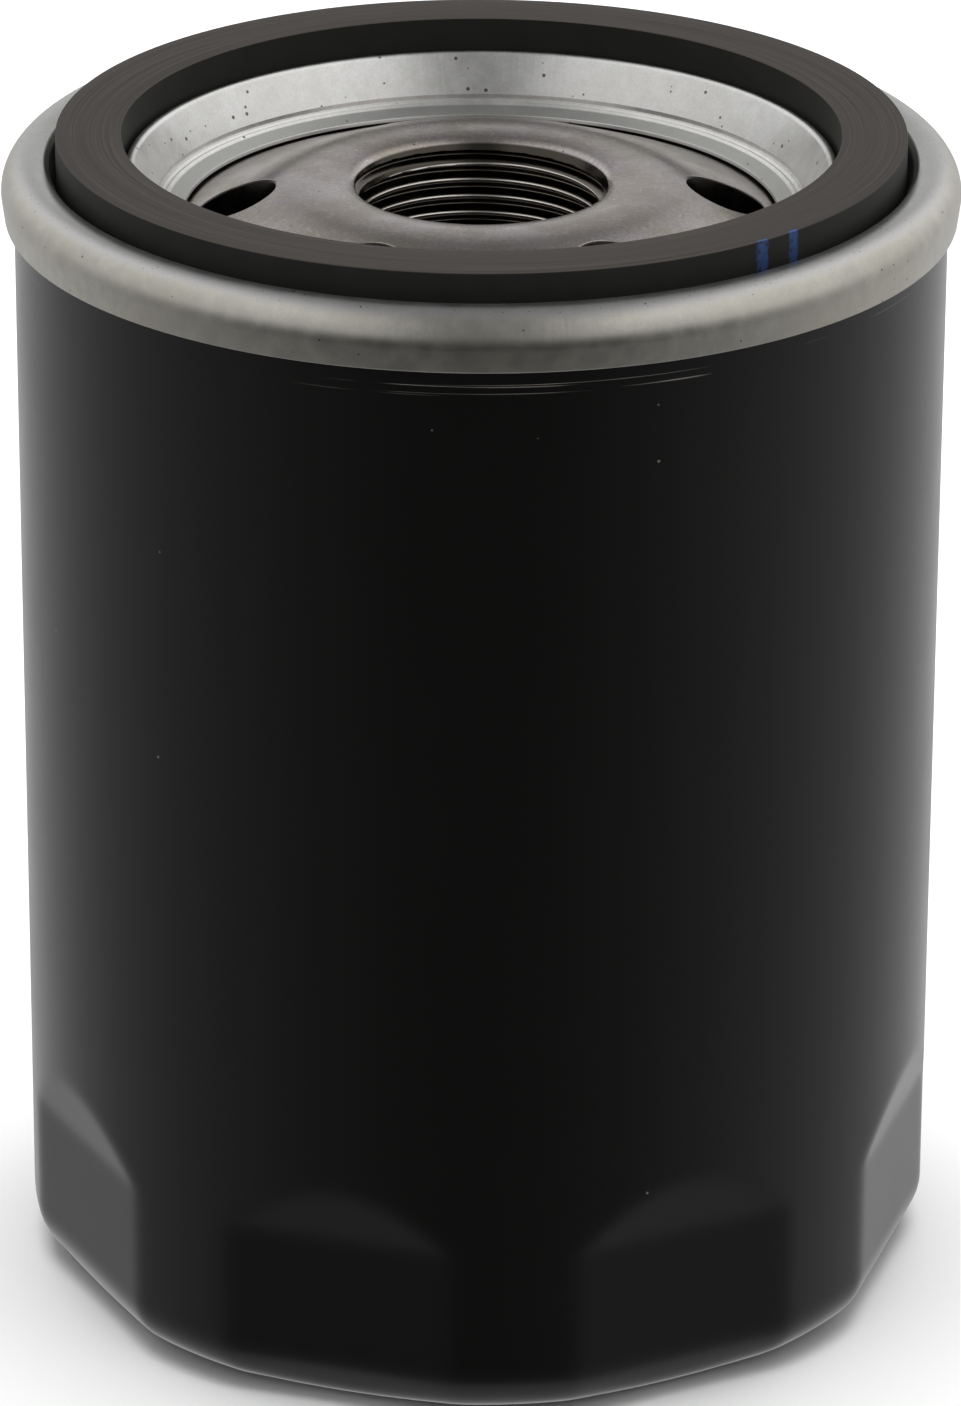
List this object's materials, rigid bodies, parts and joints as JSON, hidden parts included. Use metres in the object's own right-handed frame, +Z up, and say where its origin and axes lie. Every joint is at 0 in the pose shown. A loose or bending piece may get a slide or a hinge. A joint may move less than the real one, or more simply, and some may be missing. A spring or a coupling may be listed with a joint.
{
  "type": "spin-on oil filter",
  "caption": "Cylindrical spin-on oil filter: painted steel can with wrench flats, rolled rim, square rubber gasket and threaded plate with inlet holes round its bore.",
  "frame": {"origin": "centre of the base, on the plane of its resting ring", "axes": "+Z up the filter's axis, from the closed end to the gasket; -Y faces the viewer"},
  "size_m": [0.0816, 0.0816, 0.1033],
  "materials": {
    "black_paint": "semi-gloss black stoved paint",
    "plated_steel": "satin tin-plated sheet, faintly mottled",
    "bare_steel": "oiled bare pressed steel, pinkish grey",
    "black_rubber": "matt nitrile rubber, lathe-cut",
    "seam_compound": "dull grey sealing compound",
    "plastisol": "cured plastisol adhesive",
    "filter_paper": "resin-treated pleated filter paper",
    "brass": "turned brass, lightly polished",
    "spring_steel": "oiled spring wire"
  },
  "bodies": {
    "housing": {"can_shell": "black_paint", "seaming_lid": "plated_steel", "tapping_plate": "bare_steel", "sealing_gasket": "black_rubber", "seam_compound_ring": "seam_compound", "support_spring": "spring_steel"},
    "filter_element": {"element_top_cap": "plated_steel", "element_bottom_cap": "plated_steel", "top_adhesive_ring": "plastisol", "bottom_adhesive_ring": "plastisol", "pleated_media": "filter_paper", "media_seam_clip": "plated_steel", "centre_tube": "plated_steel", "bypass_valve_seat": "plated_steel", "bypass_valve_cage": "plated_steel", "spring_seat": "plated_steel", "bypass_spring": "spring_steel"},
    "bypass_valve": {"bypass_poppet": "brass", "bypass_seal_washer": "black_rubber"},
    "drainback_lip": {"anti_drainback_valve": "black_rubber"}
  },
  "joints": [
    {"name": "element_float", "type": "slide", "parent": "housing", "child": "filter_element", "axis": [0, 0, -1], "range_m": [0, 0.0015], "stiffness_N_per_m": 10000, "springref_m": -0.004, "deforming": ["support_spring"]},
    {"name": "bypass_lift", "type": "slide", "parent": "filter_element", "child": "bypass_valve", "axis": [0, 0, 1], "range_m": [0, 0.003], "stiffness_N_per_m": 2000, "springref_m": -0.0075, "deforming": ["bypass_spring"]},
    {"name": "drainback_open", "type": "slide", "parent": "housing", "child": "drainback_lip", "axis": [0, 0, -1], "range_m": [0, 0.0012], "stiffness_N_per_m": 400, "springref_m": -0.0005, "deforming": ["anti_drainback_valve"]}
  ]
}
